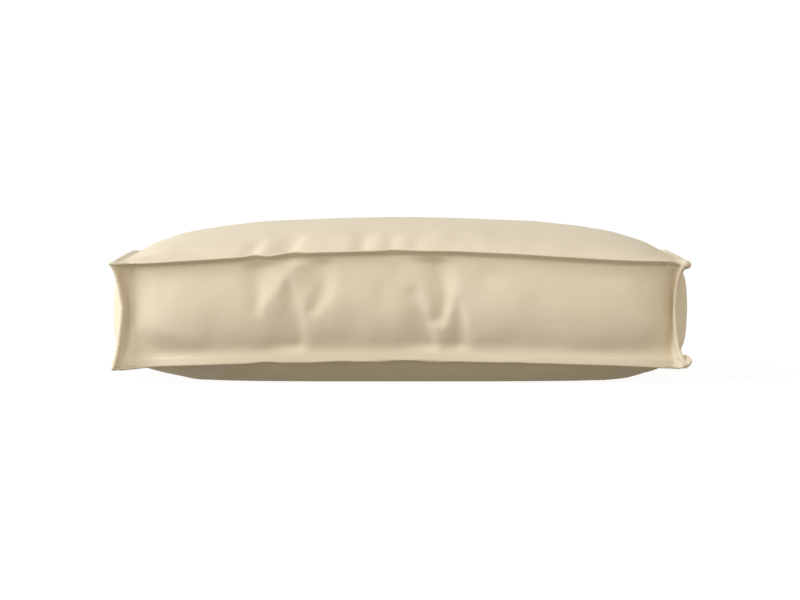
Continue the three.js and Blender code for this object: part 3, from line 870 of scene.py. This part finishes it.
# The two cloths, lengths in millimetres
coverFinish = {
    "colour": (0.775, 0.675, 0.495),
    "paler": (0.80, 0.70, 0.52),
    "cloudScale": 9.0,       # of the patches between the two colours
    "roughness": 0.88,
    "sheen": 0.05,
    "sheenRoughness": 0.5,
    "shine": 0.25,
    "threadPitch": 0.8,      # from thread to thread
    "threadHeight": 0.012,
    "unevenness": 0.10,      # slow rise and fall of the cloth
    "unevenScale": 38.0,
}
flangeFinish = dict(coverFinish, colour=(0.765, 0.665, 0.485), paler=(0.79, 0.69, 0.51),
                    unevenness=0.12)


def link(tree, source, target):
    tree.links.new(source, target)


def node(tree, kind, **settings):
    made = tree.nodes.new("ShaderNode" + kind)
    for key, value in settings.items():
        if hasattr(made, key):
            setattr(made, key, value)
        else:
            made.inputs[key].default_value = value
    return made


def maths(tree, operation, *values):
    made = tree.nodes.new("ShaderNodeMath")
    made.operation = operation
    for socket, value in zip(made.inputs, values):
        if isinstance(value, (int, float)):
            socket.default_value = value
        else:
            link(tree, value, socket)
    return made.outputs[0]


def wovenCloth(name, finish, flat):
    material = bpy.data.materials.new(name)
    material.use_nodes = True
    tree = material.node_tree
    tree.nodes.clear()
    output = node(tree, "OutputMaterial")
    shader = node(tree, "BsdfPrincipled")
    shader.inputs["Roughness"].default_value = finish["roughness"]
    shader.inputs["Sheen Weight"].default_value = finish["sheen"]
    shader.inputs["Sheen Roughness"].default_value = finish["sheenRoughness"]
    shader.inputs["Specular IOR Level"].default_value = finish["shine"]
    link(tree, shader.outputs[0], output.inputs["Surface"])

    # threads across and along the cloth, laid out flat or taken from its place
    place = node(tree, "TexCoord")
    split = node(tree, "SeparateXYZ")
    if flat:
        link(tree, node(tree, "UVMap", uv_map="weave").outputs[0], split.inputs[0])
        second = split.outputs[1]
    else:
        link(tree, place.outputs["Object"], split.inputs[0])
        second = maths(tree, "ADD", split.outputs[1], split.outputs[2])
    turns = 2 * math.pi / (finish["threadPitch"] * millimetre)
    across = maths(tree, "SINE", maths(tree, "MULTIPLY", split.outputs[0], turns))
    along = maths(tree, "SINE", maths(tree, "MULTIPLY", second, turns))
    woven = maths(tree, "MULTIPLY", across, along)
    threads = maths(tree, "MULTIPLY", woven, finish["threadHeight"] * millimetre)

    slow = node(tree, "TexNoise", Scale=finish["unevenScale"], Detail=3.0, Roughness=0.5)
    link(tree, place.outputs["Object"], slow.inputs["Vector"])
    uneven = maths(tree, "MULTIPLY", slow.outputs[0], finish["unevenness"] * millimetre)
    bump = node(tree, "Bump", Strength=1.0, Distance=1.0)
    link(tree, maths(tree, "ADD", threads, uneven), bump.inputs["Height"])
    link(tree, bump.outputs[0], shader.inputs["Normal"])

    # the dye is a little uneven
    cloudy = node(tree, "TexNoise", Scale=finish["cloudScale"], Detail=4.0, Roughness=0.6)
    link(tree, place.outputs["Object"], cloudy.inputs["Vector"])
    ramp = node(tree, "ValToRGB")
    ramp.color_ramp.elements[0].position = 0.3
    ramp.color_ramp.elements[0].color = (*finish["colour"], 1)
    ramp.color_ramp.elements[1].position = 0.7
    ramp.color_ramp.elements[1].color = (*finish["paler"], 1)
    link(tree, cloudy.outputs[0], ramp.inputs[0])
    link(tree, ramp.outputs[0], shader.inputs["Base Color"])
    return material


coverCloth = wovenCloth("beige_cover_cloth", coverFinish, True)
flangeCloth = wovenCloth("beige_flange_cloth", flangeFinish, False)

cover, seamPoints = coverBody(coverCloth)
settleCover(cover, seamPoints)
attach(cover, "root")
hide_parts("cushion_body")
print("cover made:", len(cover.data.polygons), "faces")

for name, end in (("top_flange", 1), ("bottom_flange", -1)):
    trim = longFlange(name + "_sewn", end, flangeCloth)
    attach(trim, "root")
    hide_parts(name)
for index, corner in enumerate(corners):
    trim = cornerFlange("corner_flange_" + corner["name"] + "_sewn", index, flangeCloth)
    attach(trim, "root")
    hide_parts("corner_flange_" + corner["name"])
print("flanges made")


# Floor, light and camera, in metres
studio = {
    "floorHalf": 200.0,
    "floorDrop": 0.0006,     # how far below the cushion it lies
    "floorGlow": 0.94,       # it is a pale sweep that hardly darkens
    "floorShade": 0.10,
    "sky": 1.52,             # strength at the horizon and straight up
    "skyTop": 0.0,
    "skyColour": (1.0, 0.94, 0.87),
    "ground": 0.26,
    "groundColour": (1.0, 0.91, 0.757),
    "horizon": (-0.06, -0.015),   # between these heights the ground turns into the sky
    "keyFrom": (-0.705, -0.43, 0.545),
    "keyStrength": 2.3,
    "keyAngle": 45.0,
    "sideFrom": (-0.90, 0.40, -0.02),
    "sideStrength": 1.05,
    "sideAngle": 30.0,
    "lampColour": (0.95, 1.0, 1.09),
}
view = {
    "place": (0.0005, -7.565, 0.287),
    "aim": (0.0005, -0.305, 0.0882),
    "sensor": 36.0,
    "lens": 311.1,
    "farthest": 200,
}


def studioFloor():
    half = studio["floorHalf"]
    square = [(-half, -half, 0), (half, -half, 0), (half, half, 0), (-half, half, 0)]
    mesh = bpy.data.meshes.new("studio_floor")
    mesh.from_pydata(square, [], [(0, 1, 2, 3)])
    floor = bpy.data.objects.new("studio_floor", mesh)
    scene.collection.objects.link(floor)
    floor.location.z = -studio["floorDrop"]
    material = bpy.data.materials.new("pale_floor")
    material.use_nodes = True
    tree = material.node_tree
    tree.nodes.clear()
    output = node(tree, "OutputMaterial")
    glow = node(tree, "Emission", Color=(1, 1, 1, 1), Strength=studio["floorGlow"])
    matt = node(tree, "BsdfDiffuse", Color=(studio["floorShade"],) * 3 + (1,))
    both = node(tree, "AddShader")
    link(tree, glow.outputs[0], both.inputs[0])
    link(tree, matt.outputs[0], both.inputs[1])
    link(tree, both.outputs[0], output.inputs["Surface"])
    mesh.materials.append(material)
    floor.visible_diffuse = False  # it neither lights nor shades the cushion's underside
    floor.visible_glossy = False
    floor.visible_shadow = False


def studioSky():
    world = bpy.data.worlds.new("studio_sky")
    scene.world = world
    world.use_nodes = True
    tree = world.node_tree
    tree.nodes.clear()
    output = node(tree, "OutputWorld")
    back = node(tree, "Background", Strength=1.0)
    place = node(tree, "TexCoord")
    split = node(tree, "SeparateXYZ")
    link(tree, place.outputs["Generated"], split.inputs[0])
    ramp = node(tree, "ValToRGB")
    ground, sky = studio["ground"], studio["sky"]
    groundEnd, skyStart = studio["horizon"]
    rows = [(-1.0, ground, studio["groundColour"]), (groundEnd, ground, studio["groundColour"]),
            (skyStart, sky, studio["skyColour"]), (0.0, sky, studio["skyColour"]),
            (1.0, studio["skyTop"], studio["skyColour"])]
    stops = ramp.color_ramp.elements
    for index, (height, strength, colour) in enumerate(rows):
        stop = stops[index] if index < 2 else stops.new(0.5)
        stop.position = (height + 1) / 2
        stop.color = (*(strength * share for share in colour), 1)
    link(tree, maths(tree, "MULTIPLY_ADD", split.outputs[2], 0.5, 0.5), ramp.inputs[0])
    link(tree, ramp.outputs[0], back.inputs["Color"])
    link(tree, back.outputs[0], output.inputs["Surface"])


def studioLamp(name):
    light = bpy.data.lights.new(name + "_light", "SUN")
    light.energy = studio[name + "Strength"]
    light.angle = math.radians(studio[name + "Angle"])
    light.color = studio["lampColour"]
    lamp = bpy.data.objects.new(name + "_light", light)
    scene.collection.objects.link(lamp)
    lamp.rotation_euler = Vector(studio[name + "From"]).to_track_quat("Z", "Y").to_euler()


def photoCamera():
    data = bpy.data.cameras.new("camera")
    data.sensor_width = view["sensor"]
    data.lens = view["lens"]
    data.clip_end = view["farthest"]
    camera = bpy.data.objects.new("camera", data)
    scene.collection.objects.link(camera)
    camera.location = view["place"]
    aim = Vector(view["aim"]) - camera.location
    camera.rotation_euler = aim.to_track_quat("-Z", "Y").to_euler()
    scene.camera = camera


studioFloor()
studioSky()
studioLamp("key")
studioLamp("side")
photoCamera()
scene.view_settings.view_transform = "Standard"
scene.view_settings.look = "None"
scene.view_settings.exposure = 0
scene.view_settings.gamma = 1
print("studio ready")
